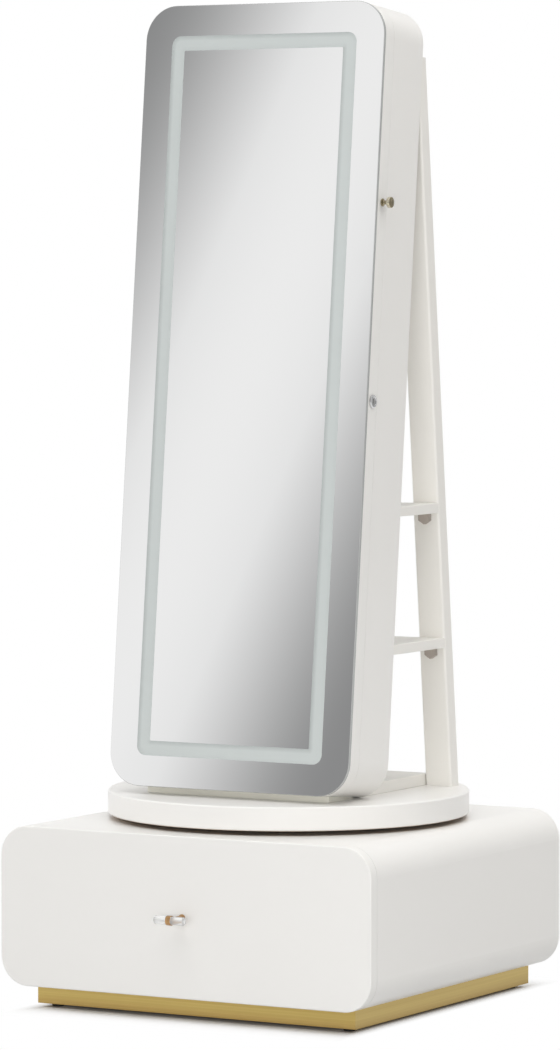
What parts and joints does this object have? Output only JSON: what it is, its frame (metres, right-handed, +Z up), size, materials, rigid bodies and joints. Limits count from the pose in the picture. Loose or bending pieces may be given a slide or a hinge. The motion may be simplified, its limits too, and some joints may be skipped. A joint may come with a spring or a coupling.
{
  "type": "rotating full-length mirror",
  "caption": "Leaning full-length lit mirror door on a lockable jewellery cabinet with rear legs and shelves, on a turntable over a rounded drawer base with a brass plinth.",
  "frame": {"origin": "on the floor, on the middle plane, half way between the front of the drawer pull and the back of the base", "axes": "+Z up, -Y is the mirror's front, +X to the right seen from behind the drawer front, so the knob and lock side is +X"},
  "size_m": [0.64, 0.6524, 1.5202],
  "materials": {
    "white_lacquer": "satin white lacquer on board",
    "drawer_board": "pale foil-faced board",
    "brushed_brass": "fine brushed brass sheet",
    "black_rubber": "matt",
    "zinc_steel": "zinc plated",
    "white_nylon": "natural nylon",
    "clear_acrylic": "polished clear",
    "antique_brass": "antique, burnished",
    "lock_chrome": "bright chrome",
    "silvered_mirror": "silvered glass with an etched light band",
    "channel_aluminium": "mill finish",
    "light_tape": "white light tape",
    "taupe_plastic": "moulded",
    "black_plastic": "moulded"
  },
  "bodies": {
    "base": {"base_shell": "white_lacquer", "base_back_panel": "white_lacquer", "plinth_front": "brushed_brass", "plinth_back": "brushed_brass", "plinth_left": "brushed_brass", "plinth_right": "brushed_brass", "plinth_corner_blocks": "drawer_board", "feet": "black_rubber", "runner_outer_left": "zinc_steel", "runner_outer_right": "zinc_steel", "bearing_plate_lower": "zinc_steel"},
    "drawer": {"drawer_front": "white_lacquer", "drawer_side_left": "drawer_board", "drawer_side_right": "drawer_board", "drawer_back": "drawer_board", "drawer_bottom": "drawer_board", "runner_inner_left": "zinc_steel", "runner_inner_right": "zinc_steel", "pull_bar": "clear_acrylic", "pull_post": "antique_brass", "pull_screw": "zinc_steel"},
    "runner_middle": {"runner_middle_left": "zinc_steel", "runner_middle_right": "zinc_steel"},
    "ball_cage": {"bearing_cage": "white_nylon", "bearing_balls": "zinc_steel"},
    "turntable": {"turntable_disc": "white_lacquer", "bearing_plate_upper": "zinc_steel", "seat_wedge": "white_lacquer", "tie_board": "white_lacquer", "rear_leg_left": "white_lacquer", "rear_leg_right": "white_lacquer", "rear_shelf_lower": "white_lacquer", "rear_shelf_upper": "white_lacquer", "shelf_supports_legs": "taupe_plastic", "shelf_supports_cabinet": "taupe_plastic", "cabinet_frame": "white_lacquer", "cabinet_back_panel": "white_lacquer", "cabinet_shelf_1": "white_lacquer", "cabinet_shelf_2": "white_lacquer", "cabinet_shelf_3": "white_lacquer", "necklace_pegs": "antique_brass", "hinge_leaves_cabinet": "zinc_steel", "hinge_pins": "zinc_steel", "lock_striker": "zinc_steel", "catch_magnets": "zinc_steel", "power_inlet": "black_plastic"},
    "mirror_door": {"mirror_glass": "silvered_mirror", "door_frame": "white_lacquer", "door_back_panel": "white_lacquer", "light_channel": "channel_aluminium", "light_strip": "light_tape", "touch_switch": "black_plastic", "door_knob": "antique_brass", "lock_body": "lock_chrome", "hinge_leaves_door": "zinc_steel", "catch_plates": "zinc_steel"},
    "lock": {"lock_plug": "lock_chrome", "lock_cam": "zinc_steel"}
  },
  "joints": [
    {"name": "turntable_turn", "type": "hinge", "parent": "base", "child": "turntable", "pos_m": [0, 0.0362, 0.282], "axis": [0, 0, 1], "continuous": true},
    {"name": "ball_cage_roll", "type": "hinge", "parent": "base", "child": "ball_cage", "pos_m": [0, 0.0362, 0.282], "axis": [0, 0, 1], "continuous": true},
    {"name": "drawer_slide", "type": "slide", "parent": "base", "child": "drawer", "axis": [0, -1, 0], "range_m": [0, 0.42]},
    {"name": "runner_slide", "type": "slide", "parent": "base", "child": "runner_middle", "axis": [0, -1, 0], "range_m": [0, 0.21]},
    {"name": "mirror_door_swing", "type": "hinge", "parent": "turntable", "child": "mirror_door", "pos_m": [-0.2116, -0.12165, 0.33104], "axis": [0, -0.0993, -0.9951], "range_deg": [0, 105]},
    {"name": "lock_turn", "type": "hinge", "parent": "mirror_door", "child": "lock", "pos_m": [0.208, -0.07609, 0.92143], "axis": [-1, 0, 0], "range_deg": [0, 90]}
  ],
  "couplings": [
    {"joint": "ball_cage_roll", "follows": "turntable_turn", "ratio": 0.5},
    {"joint": "runner_slide", "follows": "drawer_slide", "ratio": 0.5}
  ]
}
